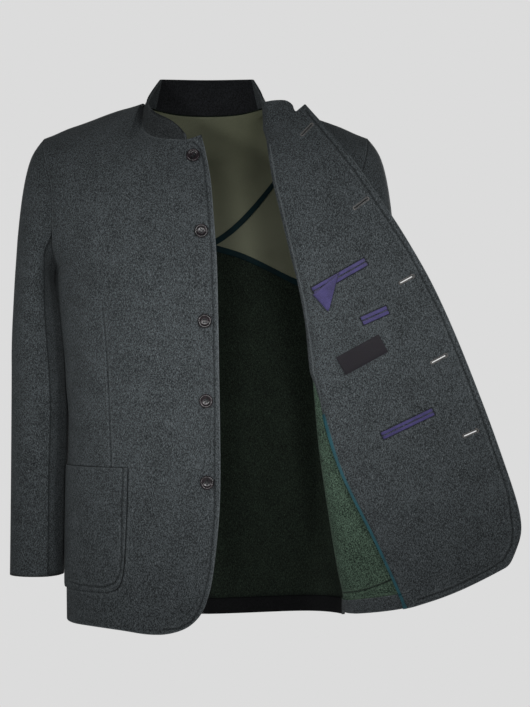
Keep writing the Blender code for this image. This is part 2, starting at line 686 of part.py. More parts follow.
def facing(points, normals, walls):
    inner = points - normals * walls
    first = APEX_COLUMN - ROLL_STEPS // 2
    steps = np.linalg.norm(np.diff(points, axis=1), axis=2)
    run = np.concatenate((np.zeros((len(points), 1)), np.cumsum(steps, axis=1)), axis=1)
    run -= run[:, APEX_COLUMN:APEX_COLUMN + 1]
    seats, inward, tape, tape_inward = [], [], [], []
    for row in range(len(points)):
        drop = -points[row, APEX_COLUMN, 2]
        start = max(run[row, first], float(np.interp(drop, FACING_EDGE[:, 0], FACING_EDGE[:, 1])))
        end = run[row, -1] - 0.3
        columns = run[row, first:]
        target = np.maximum(columns, start + FACING_STEP * np.arange(len(columns)))
        target[-1] = end
        places = np.interp(target, run[row], np.arange(points.shape[1]))
        rows = np.full(len(places), float(row))
        away = -unit(lattice(normals, rows, places))
        lift = ROLL_LIFT if drop > ROLL_LIFT_DROP and start < 3 * ROLL_REACH else 0.0
        seats.append(lattice(inner, rows, places) + away * lift)
        inward.append(away)
        if drop > TAPE_START:
            edge = start + np.array((-0.4, 0.4 * TAPE_WIDTH, 0.8 * TAPE_WIDTH))
            places = np.interp(edge, run[row], np.arange(points.shape[1]))
            away = -unit(lattice(normals, rows[:3], places))
            tape.append(lattice(inner, rows[:3], places) + away * lift)
            tape_inward.append(away)
    seats, inward = np.array(seats), np.array(inward)
    layer("left_facing", seats, inward, LAY, FACING_CLOTH, "loden")
    above = LAY + FACING_CLOTH + LAY
    layer("facing_binding", np.array(tape), np.array(tape_inward), above, TAPE, "binding")
    return seats + inward * (LAY + FACING_CLOTH), inward


def inside_pockets(points, normals):
    for name, size in (("breast", BREAST_POCKET), ("pen", PEN_POCKET), ("ticket", TICKET_POCKET)):
        slit = POCKET_SLIT / size[3]
        for kind, low, high in (("upper", slit / 2, 0.5), ("lower", -0.5, -slit / 2)):
            places = tilted_box(*size, LIP_STEPS, low, high)
            strip_on(f"{name}_lip_{kind}", points, normals, places, LAY, POCKET_LIP, "pocket_cloth")
    corners = np.array(TAB_CORNERS)
    places = []
    for share in np.linspace(0, 0.95, 4):
        left = corners[0] + (corners[2] - corners[0]) * share
        right = corners[1] + (corners[2] - corners[1]) * share
        places.append([left + (right - left) * t for t in np.linspace(0, 1, 4)])
    strip_on("breast_tab", points, normals, places, 2 * LAY + POCKET_LIP, POCKET_LIP, "pocket_cloth")
    strip_on("label", points, normals, tilted_box(*LABEL, LIP_STEPS), LAY, POCKET_LIP, "label_cloth")


def button(name, drop):
    x = float(spline(FRONT_EDGE[:, 0], FRONT_EDGE[:, 1], drop)) - BUTTON_INSET
    turn = turn_at(drop, -x)
    spot = mirrored(torso(drop, turn))
    across = mirrored(torso(drop, turn + 1)) - mirrored(torso(drop, turn - 1))
    down = mirrored(torso(drop + 3, turn)) - mirrored(torso(drop - 3, turn))
    normal = unit(np.cross(across, down))
    normal *= -np.sign(normal[1])
    profile = bmesh.new()
    verts = [profile.verts.new((radius * MM, 0, height * MM)) for radius, height in BUTTON_PROFILE]
    for above, below in zip(verts, verts[1:]):
        profile.edges.new((above, below))
    mesh = bpy.data.meshes.new(name)
    profile.to_mesh(mesh)
    profile.free()
    piece = finish(name, mesh, "horn")
    turned = piece.modifiers.new("turned", "SCREW")
    turned.steps = turned.render_steps = BUTTON_SIDES
    turned.use_merge_vertices = True
    turned.merge_threshold = 0.00001
    turned.use_smooth_shade = True
    piece.location = (spot + normal * BUTTON_SEAT) * MM
    piece.rotation_mode = "QUATERNION"
    piece.rotation_quaternion = Vector(normal).to_track_quat("Z", "Y")


for old in list(bpy.data.objects):
    bpy.data.objects.remove(old, do_unlink=True)
jacket = bpy.data.collections.new("trachten_jacket")
bpy.context.scene.collection.children.link(jacket)
for label, (colour, roughness) in MATERIALS.items():
    surface = bpy.data.materials.new(label)
    surface.use_nodes = True
    shader = surface.node_tree.nodes["Principled BSDF"]
    shader.inputs["Base Color"].default_value = (*colour, 1)
    shader.inputs["Roughness"].default_value = roughness

# Fronts
right = right_front_points()
right_normals = outward_normals(right, (len(right) // 2, -2))
set_seam_normals(right, right_normals, -1, range(NECK_COLUMN, len(FRONT_COLUMNS)))
slab("right_front", right, right - right_normals * hem_walls(right), "loden")
left = left_front_points()
left_normals = outward_normals(left, (len(left) // 2, 1))
set_seam_normals(left, left_normals, 0, range(0, SHOULDER_STEPS + 1))
left_walls = hem_walls(left)
left_walls[-2:, TURN_UP_END:] = CLOTH
slab("left_front", left, left - left_normals * left_walls, "loden")

# Back halves
back = back_points()
back_normals = outward_normals(back, (len(back) // 2, 2))
set_seam_normals(back, back_normals, -1, range(BACK_NECK_COLUMN, len(BACK_COLUMNS)), 0)
for side, name in ((1, "back_left"), (-1, "back_right")):
    mirror = np.array((side, 1, 1))
    slab(name, back * mirror, (back - back_normals * hem_walls(back)) * mirror, "loden")

# Sleeves, set into the armholes of the fronts and the back
sleeve("right", mirrored(right), mirrored(right_normals), back, back_normals, -1)
sleeve("left", left[:, ::-1], left_normals[:, ::-1], back, back_normals, 1)

collar()
lining("back_lining_left", 1, back, back_normals, LINING_LAY, LEFT_LINING_REACH, SHOULDER_TOP)
over_left = LINING_LAY + LINING + TAPE + 3 * LAY
lining("back_lining_right", -1, back, back_normals, over_left, RIGHT_LINING_REACH, RIGHT_LINING_TOP)
facing_face, facing_normals = facing(left, left_normals, left_walls)
inside_pockets(facing_face, facing_normals)
patch_pocket("right_patch_pocket", right, right_normals, RIGHT_POCKET_COLUMNS, -1)
patch_pocket("left_patch_pocket", left, left_normals, LEFT_POCKET_COLUMNS, 0)
for index, drop in enumerate(BUTTON_DROPS):
    button(f"button_{index + 1}", drop)
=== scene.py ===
import math

import bmesh
import bpy
import numpy as np
from mathutils import Matrix, Vector
from mathutils.bvhtree import BVHTree
from mathutils.geometry import convex_hull_2d


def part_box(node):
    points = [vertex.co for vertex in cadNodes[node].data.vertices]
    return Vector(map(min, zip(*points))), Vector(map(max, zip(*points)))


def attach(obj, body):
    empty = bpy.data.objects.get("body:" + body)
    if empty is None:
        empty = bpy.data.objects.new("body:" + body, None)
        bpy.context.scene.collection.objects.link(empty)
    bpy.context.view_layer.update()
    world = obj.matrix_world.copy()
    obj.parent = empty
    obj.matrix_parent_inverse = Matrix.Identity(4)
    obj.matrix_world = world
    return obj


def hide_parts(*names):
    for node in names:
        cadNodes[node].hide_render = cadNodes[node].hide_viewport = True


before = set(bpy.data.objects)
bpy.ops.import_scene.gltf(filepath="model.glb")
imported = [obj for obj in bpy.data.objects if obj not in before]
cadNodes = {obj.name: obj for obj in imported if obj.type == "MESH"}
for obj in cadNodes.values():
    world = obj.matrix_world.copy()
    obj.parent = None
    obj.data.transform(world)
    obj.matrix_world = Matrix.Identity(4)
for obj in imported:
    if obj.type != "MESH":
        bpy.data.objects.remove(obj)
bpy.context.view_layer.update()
mm = 0.001
viewPoint = (0.0855, -3.0, -0.353)   # where the photo was taken from
print("frame loaded")


def addObject(name, data):
    thing = bpy.data.objects.new(name, data)
    bpy.context.scene.collection.objects.link(thing)
    return thing


def meshOf(name, made):
    mesh = bpy.data.meshes.new(name)
    made.to_mesh(mesh)
    made.free()
    return mesh


# shader maths

class Wire:
    def __init__(self, tree, socket=None):
        self.tree = tree
        self.socket = socket

    def node(self, kind, settings=None, sockets=None, out=0):
        made = self.tree.nodes.new(kind)
        for key, value in (settings or {}).items():
            setattr(made, key, value)
        for key, value in (sockets or {}).items():
            if isinstance(value, Wire):
                self.tree.links.new(value.socket, made.inputs[key])
            else:
                made.inputs[key].default_value = value
        return Wire(self.tree, made.outputs[out])

    def calc(self, operation, first, second):
        return self.node("ShaderNodeMath", {"operation": operation}, {0: first, 1: second})

    def __add__(self, other):
        return self.calc("ADD", self, other)

    def __radd__(self, other):
        return self.calc("ADD", other, self)

    def __mul__(self, other):
        return self.calc("MULTIPLY", self, other)

    def __rmul__(self, other):
        return self.calc("MULTIPLY", other, self)

    def noise(self, place, scale, detail, roughness):
        return self.node("ShaderNodeTexNoise", None,
                         {"Vector": place, "Scale": scale, "Detail": detail, "Roughness": roughness})

    def between(self, value, low, high):
        return self.node("ShaderNodeMapRange", {"interpolation_type": "SMOOTHSTEP"},
                         {"Value": value, "From Min": low, "From Max": high})

    def blend(self, share, first, second):
        colours = [c if isinstance(c, Wire) else (*c, 1) for c in (first, second)]
        return self.node("ShaderNodeMix", {"data_type": "RGBA"}, {0: share, 6: colours[0], 7: colours[1]}, 2)

    def stretch(self, place, turn, scale):
        return self.node("ShaderNodeMapping", None, {"Vector": place, "Rotation": turn, "Scale": scale})

    def paintedShading(self):
        # painted shade in grooves and seams and painted highlight on raised cloth and edges, kept on its points
        return self.node("ShaderNodeAttribute", {"attribute_name": "paintedShading"}, None, 2)

    def bump(self, strength, distance, height):
        return self.node("ShaderNodeBump", None, {"Strength": strength, "Distance": distance, "Height": height})


def srgb(red, green, blue):
    return tuple(((c / 255 + 0.055) / 1.055) ** 2.4 if c > 10 else c / 255 / 12.92
                 for c in (red, green, blue))


def newFinish(name, fixed):
    finish = bpy.data.materials.new(name)
    finish.use_nodes = True
    shader = finish.node_tree.nodes["Principled BSDF"]
    for key, value in fixed.items():
        shader.inputs[key].default_value = value
    wire = Wire(finish.node_tree)
    place = wire.node("ShaderNodeTexCoord", None, None, 3)   # object coordinates
    return finish, shader, wire, place


def joinUp(wire, shader, **links):
    for key, value in links.items():
        wire.tree.links.new(value.socket, shader.inputs[key.replace("_", " ")])


# felted wool: fibres, drawn-out flecks and soft clouds; fine lines and rims tint it with painted shade in
# grooves and seams and painted highlight on raised cloth and edges
lodenLook = dict(dark=srgb(30, 33, 34), light=srgb(82, 88, 91), fleckAndHighlight=srgb(138, 146, 149),
                 shadedHollow=srgb(14, 16, 17), fibreScale=640.0, fleckScale=1200.0, cloudScale=30.0,
                 fibreMix=0.66, fleckMix=0.34, cloudMix=0.08,
                 spread=(0.44, 0.645), fleckTurn=(0.0, 0.6, 0.4), fleckStretch=(1.0, 1.0, 0.3),
                 fleckFrom=(0.66, 0.76), fleckShare=0.55, shadeShare=0.75, highlightShare=0.4,
                 rough=0.84, roughSpread=0.14, fibreNap=0.7, fleckNap=0.5, bump=0.4, napHeight=0.0008,
                 sheen=0.06, sheenRough=0.6, sheenTint=(0.85, 0.93, 0.95), gloss=0.2)
reverseLook = dict(lodenLook, dark=srgb(20, 31, 24), light=srgb(84, 106, 90), fleckAndHighlight=srgb(128, 150, 130),
                   bump=0.5, sheenTint=(0.8, 0.95, 0.82))
# outer collar: the loden made darker as painted shade, for a collar standing in shadow
collarPaintedShadeLook = dict(lodenLook, dark=srgb(20, 22, 23), light=srgb(60, 64, 66), fleckAndHighlight=srgb(104, 110, 112))
# inside of the back: the green reverse made darker as painted shade, deep inside the jacket
shadeLook = dict(reverseLook, dark=srgb(12, 17, 13), light=srgb(39, 50, 40), fleckAndHighlight=srgb(70, 86, 70), sheen=0.0)
# inner collar at the back of the neck: a darker copy of the loden as painted shade
collarBackPaintedShadeLook = dict(lodenLook, dark=srgb(18, 19, 21), light=srgb(40, 42, 45), fleckAndHighlight=srgb(60, 63, 66),
                  fleckShare=0.3, sheen=0.0)
# back's turned-up hem seen inside the jacket: near black as painted shade
hemPaintedShadeLook = dict(collarBackPaintedShadeLook, dark=srgb(8, 9, 10), light=srgb(20, 21, 23), fleckAndHighlight=srgb(34, 36, 38))
# strength of the painted shade and painted highlight where they start and where they are full
paintedShadingFrom = (0.05, 1.0)   # weakest and full relief


def feltFinish(name, look):
    finish, shader, wire, place = newFinish(name, {
        "Sheen Weight": look["sheen"], "Sheen Roughness": look["sheenRough"],
        "Sheen Tint": (*look["sheenTint"], 1), "Specular IOR Level": look["gloss"]})
    fibre = wire.noise(place, look["fibreScale"], 3.0, 0.65)
    drawn = wire.stretch(place, look["fleckTurn"], look["fleckStretch"])
    flecks = wire.noise(drawn, look["fleckScale"], 1.0, 0.5)
    cloud = wire.noise(place, look["cloudScale"], 2.0, 0.5)
    share = wire.between(fibre * look["fibreMix"] + flecks * look["fleckMix"] + cloud * look["cloudMix"],
                         *look["spread"])
    colour = wire.blend(share, look["dark"], look["light"])
    colour = wire.blend(wire.between(flecks, *look["fleckFrom"]) * look["fleckShare"], colour, look["fleckAndHighlight"])
    # painted shade towards the dark groove colour, painted highlight towards the fleck colour
    paintedShading = wire.paintedShading()
    colour = wire.blend(wire.between(paintedShading * -1.0, *paintedShadingFrom) * look["shadeShare"], colour, look["shadedHollow"])
    colour = wire.blend(wire.between(paintedShading, *paintedShadingFrom) * look["highlightShare"], colour, look["fleckAndHighlight"])
    nap = fibre * look["fibreNap"] + flecks * look["fleckNap"]
    joinUp(wire, shader, Base_Color=colour, Roughness=look["rough"] + fibre * look["roughSpread"],
           Normal=wire.bump(look["bump"], look["napHeight"], nap))
    return finish


# smooth woven cloth and thread: slanting ribs, threads and soft clouds, with painted shade in grooves and along
# dark rims
weave = dict(ribMix=0.35, cloudMix=0.55, threadMix=0.2, spread=(0.3, 0.8), threadsPerRib=3,
             hollowShade=0.15, shadeShare=0.8, roughSpread=0.18, threadNap=0.6, ribHeight=0.0003,
             sheenRough=0.35)
liningLook = dict(weave, dark=srgb(90, 93, 76), light=srgb(126, 129, 106), turn=0.7,
                  ribScale=420.0, cloudScale=9.0, rough=0.42, bump=0.12, sheen=0.02, gloss=0.2)
bindingLook = dict(weave, dark=srgb(3, 19, 22), light=srgb(11, 42, 47), turn=0.5,
                   ribScale=500.0, cloudScale=60.0, rough=0.55, bump=0.2, sheen=0.0, gloss=0.12)
tapeLook = dict(bindingLook, dark=srgb(6, 50, 58), light=srgb(20, 86, 97), rough=0.42, sheen=0.1, gloss=0.45)
jettingLook = dict(weave, dark=srgb(34, 29, 72), light=srgb(72, 64, 124), turn=0.4,
                   ribScale=620.0, cloudScale=70.0, rough=0.4, bump=0.2, sheen=0.15, gloss=0.4)
labelLook = dict(weave, dark=srgb(13, 10, 16), light=srgb(26, 21, 31), turn=0.5,
                 ribScale=700.0, cloudScale=90.0, rough=0.55, bump=0.3, sheen=0.1, gloss=0.35)
threadLook = dict(weave, dark=srgb(30, 36, 38), light=srgb(62, 72, 74), turn=0.9,
                  ribScale=1500.0, cloudScale=200.0, rough=0.55, bump=0.3, sheen=0.2, gloss=0.3)
silkLook = dict(threadLook, dark=srgb(88, 85, 83), light=srgb(146, 142, 138))


def twillFinish(name, look):
    finish, shader, wire, place = newFinish(name, {
        "Sheen Weight": look["sheen"], "Sheen Roughness": look["sheenRough"],
        "Specular IOR Level": look["gloss"]})
    turned = wire.stretch(place, (0.0, look["turn"], 0.0), (1.0, 1.0, 1.0))
    ribs = wire.node("ShaderNodeTexWave", {"wave_type": "BANDS", "bands_direction": "X"},
                     {"Vector": turned, "Scale": look["ribScale"], "Distortion": 0.6, "Detail": 1.0,
                      "Detail Scale": 3.0}, 1)
    cloud = wire.noise(place, look["cloudScale"], 3.0, 0.55)
    thread = wire.noise(place, look["ribScale"] * look["threadsPerRib"], 1.0, 0.5)
    share = wire.between(ribs * look["ribMix"] + cloud * look["cloudMix"] + thread * look["threadMix"],
                         *look["spread"])
    colour = wire.blend(share, look["dark"], look["light"])
    # painted shade: grooves and dark rims turn towards a darker copy of the cloth's dark colour
    shadedHollow = [c * look["hollowShade"] for c in look["dark"]]
    colour = wire.blend(wire.between(wire.paintedShading() * -1.0, *paintedShadingFrom) * look["shadeShare"], colour, shadedHollow)
    joinUp(wire, shader, Base_Color=colour, Roughness=look["rough"] + cloud * look["roughSpread"],
           Normal=wire.bump(look["bump"], look["ribHeight"], ribs + thread * look["threadNap"]))
    return finish


hornLook = dict(dark=srgb(8, 6, 8), light=srgb(40, 29, 35), streakScale=330.0, cloudScale=120.0,
                streakTurn=(0.0, 0.5, 0.0), streakStretch=(1.0, 1.0, 0.22), streakMix=0.7, cloudMix=0.3,
                spread=(0.38, 0.66), rough=0.2, roughSpread=0.2, bump=0.08, streakHeight=0.0002,
                coat=0.2, coatRough=0.28)


def hornFinish(name, look):
    finish, shader, wire, place = newFinish(name, {
        "Coat Weight": look["coat"], "Coat Roughness": look["coatRough"]})
    drawn = wire.stretch(place, look["streakTurn"], look["streakStretch"])
    streak = wire.noise(drawn, look["streakScale"], 4.0, 0.6)
    cloud = wire.noise(place, look["cloudScale"], 2.0, 0.5)
    share = wire.between(streak * look["streakMix"] + cloud * look["cloudMix"], *look["spread"])
    joinUp(wire, shader, Base_Color=wire.blend(share, look["dark"], look["light"]),
           Roughness=look["rough"] + streak * look["roughSpread"],
           Normal=wire.bump(look["bump"], look["streakHeight"], streak))
    return finish


finishes = {
    "loden": feltFinish("lodenFelt", lodenLook),
    # the collar, inside, inner-collar and hem finishes are darker copies of the felt, as painted shade
    "collar": feltFinish("collarFeltPaintedShade", collarPaintedShadeLook),
    "reverse": feltFinish("greenReverse", reverseLook),
    "shade": feltFinish("greenInsidePaintedShade", shadeLook),
    "collarBackPaintedShade": feltFinish("collarBackPaintedShadeFelt", collarBackPaintedShadeLook),
    "hem": feltFinish("hemPaintedShadeFelt", hemPaintedShadeLook),
    "satin": twillFinish("oliveLining", liningLook),
    "binding": twillFinish("tealBinding", bindingLook),
    "tape": twillFinish("tealTape", tapeLook),
    "jetting": twillFinish("violetJetting", jettingLook),
    "label": twillFinish("labelWeave", labelLook),
    "thread": twillFinish("sewingThread", threadLook),
    "silk": twillFinish("buttonholeSilk", silkLook),
    "horn": hornFinish("buttonHorn", hornLook),
}
print("finishes made:", len(finishes))


# creases in millimetres: each pushes both faces of a wall along its push direction

front = (0.0, -1.0, 0.0)
rear = (0.0, 1.0, 0.0)
up = (0.0, 0.0, 1.0)
leftward = (1.0, 0.0, 0.0)   # the wearer's left
rightward = (-1.0, 0.0, 0.0)
rightSleeve = ("right_top_sleeve", "right_under_sleeve")
creases = [
    # right front: dart's hollow, armhole fold, chest, button drags, hem
    dict(line=[(-150, -84, -250), (-141, -85, -330), (-134, -86, -420)], width=24, depth=-2.4, push=front),
    dict(line=[(-205, -50, -200), (-188, -62, -300), (-178, -66, -430)], width=20, depth=-3.6, push=front),
    dict(line=[(-70, -115, -120), (-92, -112, -290), (-84, -110, -470), (-92, -108, -650)],
         width=46, depth=3.2, push=front),
    dict(line=[(-52, -100, -72), (-104, -104, -140), (-152, -90, -205)], width=22, depth=-2.2, push=front),
    dict(line=[(-10, -128, -187), (-44, -126, -200), (-82, -118, -206)], width=9, depth=-1.3, push=front),
    dict(line=[(-8, -128, -312), (-38, -126, -322), (-70, -120, -338)], width=10, depth=-1.4, push=front),
    dict(line=[(-8, -124, -423), (-40, -122, -429), (-78, -116, -424)], width=10, depth=-1.2, push=front),
    dict(line=[(-6, -122, -536), (-36, -120, -548), (-66, -114, -570)], width=11, depth=-1.4, push=front),
    dict(line=[(-58, -116, -560), (-46, -116, -660), (-50, -114, -744)], width=26, depth=-2.6, push=front),
    dict(line=[(-150, -80, -625), (-138, -82, -690), (-140, -82, -744)], width=26, depth=2.4, push=front),
    dict(line=[(-118, -80, -40), (-160, -66, -62), (-206, -40, -92)], width=18, depth=-1.8, push=front),
    # shoulders, a little full
    dict(line=[(-96, 5, 8), (-160, 5, -15), (-226, 5, -38)], width=34, depth=1.8, push=up),
    dict(line=[(96, 5, 8), (160, 5, -15), (226, 5, -38)], width=34, depth=1.8, push=up),
    # rolled front
    dict(line=[(132, -126, -130), (176, -132, -290), (204, -126, -450), (236, -116, -600)],
         width=26, depth=-3.0, push=front),
    dict(line=[(178, -118, -110), (258, -130, -240), (322, -122, -390), (384, -112, -520)],
         width=30, depth=3.0, push=front),
    dict(line=[(158, -130, -200), (206, -130, -214), (252, -128, -206)], width=14, depth=-1.6, push=front),
    dict(line=[(196, -126, -392), (260, -122, -404), (318, -118, -392)], width=16, depth=-2.0, push=front),
    dict(line=[(230, -114, -668), (300, -108, -618), (372, -104, -596)], width=26, depth=-2.6, push=front),
    dict(line=[(250, -122, -480), (300, -116, -520), (372, -110, -548)], width=20, depth=-1.8, push=front),
    # right sleeve, at the crook of the arm and above the cuff
    dict(line=[(-278, -40, -306), (-254, -66, -326), (-226, -52, -338)], width=11, depth=-2.6, push=front),
    dict(line=[(-280, -40, -372), (-256, -58, -362), (-228, -46, -348)], width=12, depth=2.0, push=front),
    dict(line=[(-281, -38, -412), (-252, -54, -392), (-226, -42, -388)], width=10, depth=-2.2, push=front),
    dict(line=[(-279, -36, -470), (-254, -46, -486), (-230, -40, -484)], width=12, depth=-1.5, push=front),
    dict(line=[(-266, -44, -560), (-248, -48, -600), (-240, -48, -660)], width=14, depth=-1.6, push=front),
    dict(line=[(-283, 10, -350), (-281, 30, -380), (-276, 52, -392)], width=14, depth=-2.0, push=rightward),
    dict(line=[(-262, 62, -320), (-244, 74, -345), (-226, 60, -352)], width=13, depth=-2.4, push=rear),
    dict(line=[(-262, 58, -420), (-246, 72, -436), (-228, 58, -430)], width=13, depth=-2.0, push=rear),
    dict(line=[(-216, 8, -215), (-212, 10, -290), (-207, 12, -345), (-202, 15, -400), (-202, 16, -460),
               (-205, 15, -512), (-206, 10, -600), (-206, 4, -700)],
         width=26, depth=3.6, push=leftward, only=rightSleeve),
    dict(line=[(-217, 8, -190), (-217, 8, -236), (-214, 8, -268), (-211, 8, -300), (-208, 9, -335),
               (-204, 12, -372)],
         width=26, depth=4.6, push=leftward, only=rightSleeve),
    # right side seam, full against the sleeve
    dict(line=[(-217, -6, -190), (-217, -6, -236), (-212, -6, -280), (-206, -6, -330), (-199, -6, -390),
               (-197, -6, -450)],
         width=22, depth=3.2, push=rightward, only=("right_front", "back_right")),
    # right armhole seam: raised edge of the body, sleeve set lower
    dict(line=[(-226, -10, -42), (-223, -54, -76), (-214.5, -66, -106), (-210, -74, -150),
               (-212, -66, -190)],
         width=3.4, depth=1.3, push=front, only="right_front"),
    dict(line=[(-238, -8, -46), (-233, -52, -76), (-225, -62, -106), (-220, -70, -150), (-221, -62, -190)],
         width=7, depth=-3.0, push=front, only="right_top_sleeve"),
    # left sleeve, similar
    dict(line=[(278, -30, -316), (254, -56, -334), (226, -44, -346)], width=11, depth=-2.4, push=front),
    dict(line=[(280, -28, -400), (254, -44, -386), (228, -34, -380)], width=10, depth=-2.0, push=front),
    dict(line=[(283, 16, -338), (281, 36, -366), (276, 60, -380)], width=14, depth=-2.0, push=leftward),
    dict(line=[(262, 72, -330), (244, 84, -352), (226, 70, -360)], width=13, depth=-2.4, push=rear),
    dict(line=[(264, 68, -440), (246, 82, -452), (228, 68, -446)], width=13, depth=-1.8, push=rear),
    # back, outside
    dict(line=[(-96, 104, -150), (-112, 108, -330), (-98, 108, -520), (-104, 108, -740)],
         width=30, depth=-4.2, push=rear),
    dict(line=[(104, 104, -160), (114, 108, -350), (92, 108, -540), (98, 108, -740)],
         width=30, depth=-3.8, push=rear),
    dict(line=[(-150, 70, -120), (-176, 62, -200), (-184, 52, -300)], width=20, depth=-2.6, push=rear),
    dict(line=[(152, 70, -118), (178, 62, -205), (186, 52, -310)], width=20, depth=-2.6, push=rear),
    dict(line=[(-60, 116, -372), (0, 120, -384), (66, 116, -376)], width=22, depth=-2.0, push=rear),
    dict(line=[(-40, 120, -520), (-30, 122, -640), (-38, 122, -742)], width=24, depth=2.6, push=rear),
    dict(line=[(46, 120, -540), (40, 122, -650), (44, 122, -742)], width=24, depth=2.4, push=rear),
    dict(line=[(0, 108, -748), (800, 108, -748)], width=60, depth=6.5, push=up, only="back_left", wave=0.0),
    # half lining alone, standing off the back
    dict(line=[(-66, 70, -22), (-40, 82, -34), (-8, 88, -30)],
         width=8, depth=1.8, push=front, only="back_lining"),
    dict(line=[(10, 86, -26), (26, 96, -84), (34, 104, -150)],
         width=12, depth=1.0, push=front, only="back_lining"),
    dict(line=[(58, 76, -30), (62, 90, -76), (50, 102, -120)],
         width=10, depth=0.9, push=front, only="back_lining"),
    dict(line=[(40, 108, -206), (86, 104, -212), (120, 96, -226)],
         width=9, depth=1.6, push=front, only="back_lining"),
]

# sewn lines, seen from the front as x, z
frontEdge = [(-14, -57), (-5.5, -66), (-1, -80), (2, -100), (7, -156), (11.5, -215), (14, -306), (15.5, -417),
             (15.5, -577), (8.5, -654), (1, -688), (-7, -711), (-18, -727), (-34, -735.5), (-56, -738.5)]
flapEdge = [(143, -10), (165.6, -40.5), (186.5, -67.5), (212.2, -102.2), (236.5, -139.4), (285.7, -214),
            (327.8, -295.2), (362.4, -376), (395.8, -463.2), (425.3, -548.6), (432.3, -600), (431, -622),
            (420, -643), (398, -657.5), (342.5, -685), (300, -700)]
pocketEdge = [(-112.5, -513.5), (-114.5, -560), (-115, -640), (-118, -662), (-125, -674), (-140, -680.5),
              (-176, -680.5), (-192, -678)]
collarEdge = [(-75.5, -8), (-66, -15), (-52, -21), (-38, -30), (-29.5, -42)]
dartLine = [(-142, -289), (-137, -345), (-134, -407), (-131, -479), (-130, -512)]
neckSeam = [(-86, -33), (-83.7, -36.5), (-69.6, -44.9), (-48.5, -49), (-28.7, -49.5)]
allowanceEdge = [(17.5, -430), (18, -560), (17.5, -722)]
rollLine = [(92, -60), (94.5, -75), (99.5, -110), (110, -153), (120, -195), (140, -278),
            (152, -362), (158, -446)]
turnUpSeam = [(196, -695), (214, -692), (232, -686.5), (250, -679), (269, -669.5)]
# buttonholes of the rolled front: inner end and eye
buttonholes = [((137, -46.5), (151, -31.5)), ((209, -152), (227, -138.5)), ((272.5, -255.5), (290, -246)),
               ((317, -366), (337, -355.5)), ((362.5, -468.5), (381, -460.5))]
closedHoles = 2   # the first ones, still uncut


def outlineOf(*names):
    # closed outline of flat pieces, seen from the front
    spots = [(vert.co.x / mm, vert.co.z / mm) for name in names for vert in cadNodes[name].data.vertices]
    ring = [spots[index] for index in convex_hull_2d(spots)]
    return ring + ring[:1]


def pocketLips(name):
    return outlineOf(name + "_lip_upper", name + "_lip_lower")


# fine lines are pressed in and painted: painted shade in the groove, painted highlight on the raised cloth
# beside it; a negative tint paints a pale line of painted highlight
groove = dict(width=1.3, depth=0.9, swell=0.35, shadingTint=1.0)
flatGroove = dict(groove, swell=0.0)
grooveLip = dict(place=2.6, width=1.3, shadingTint=0.35)   # raised cloth beside a groove, in groove widths
fineLines = {
    "right_front": [dict(groove, line=frontEdge, shadingTint=0.8),
                    dict(groove, line=dartLine, width=1.0, depth=1.2, swell=0.3),
                    # painted shade along the neck seam and painted shadow round the patch pocket
                    dict(flatGroove, line=neckSeam, width=1.5, depth=0.5),
                    dict(flatGroove, line=outlineOf("right_patch_pocket"), width=1.4, depth=0.4)],
    "left_facing": [dict(groove, line=flapEdge, shadingTint=0.85),
                    # pale line of painted highlight along the roll
                    dict(flatGroove, line=rollLine, width=1.6, depth=0.0, shadingTint=-0.6)]
                   # painted shade as dark slits of the uncut buttonholes
                   + [dict(flatGroove, line=hole, width=0.9, depth=0.6, shadingTint=1.3)
                      for hole in buttonholes[:closedHoles]]
                   # painted shadow round the pocket lips
                   + [dict(flatGroove, line=pocketLips(name), width=1.5, depth=0.5)
                      for name in ("breast", "pen", "ticket")],
    "right_patch_pocket": [dict(groove, line=pocketEdge, shadingTint=0.8)],
    "collar_outer": [dict(groove, line=collarEdge, depth=0.7)],
    "left_front": [dict(groove, line=turnUpSeam, swell=0.5, shadingTint=1.1)],
    "back_left": [dict(groove, line=allowanceEdge, depth=0.7, shadingTint=0.6)],
}


def lineDistance(points, line, push):
    # distance across the push direction, place along the line from 0 to 1, and distance along the push
    line = np.array(line, float)
    push = np.array(push)
    flat = points - np.outer(points @ push, push)
    flatLine = line - np.outer(line @ push, push)
    steps = np.linalg.norm(np.diff(line, axis=0), axis=1)
    starts = np.concatenate(([0.0], np.cumsum(steps)))
    best = np.full(len(points), 1e9)
    place = np.zeros(len(points))
    deep = np.zeros(len(points))
    for index, step in enumerate(steps):
        run = flatLine[index + 1] - flatLine[index]
        share = np.clip((flat - flatLine[index]) @ run / max(run @ run, 1e-9), 0, 1)
        gap = np.linalg.norm(flat - flatLine[index] - share[:, None] * run, axis=1)
        closer = gap < best
        best[closer] = gap[closer]
        place[closer] = ((starts[index] + share * step) / starts[-1])[closer]
        onLine = line[index] @ push + share * ((line[index + 1] - line[index]) @ push)
        deep[closer] = np.abs(points @ push - onLine)[closer]
    return best, place, deep


def fineGap(points, fine):
    return lineDistance(points, [(x, 0, z) for x, z in fine["line"]], front)[0]


def facesFront(normal):
    return normal.y < -0.15


# how uneven a crease is in width and depth, and how far behind its line it still acts
creaseLook = dict(widthShare=0.18, widthWaves=7, depthShare=0.22, depthWaves=11, shiftPerCrease=2.1,
                  endShare=0.25, reach=75, seamWidth=4)


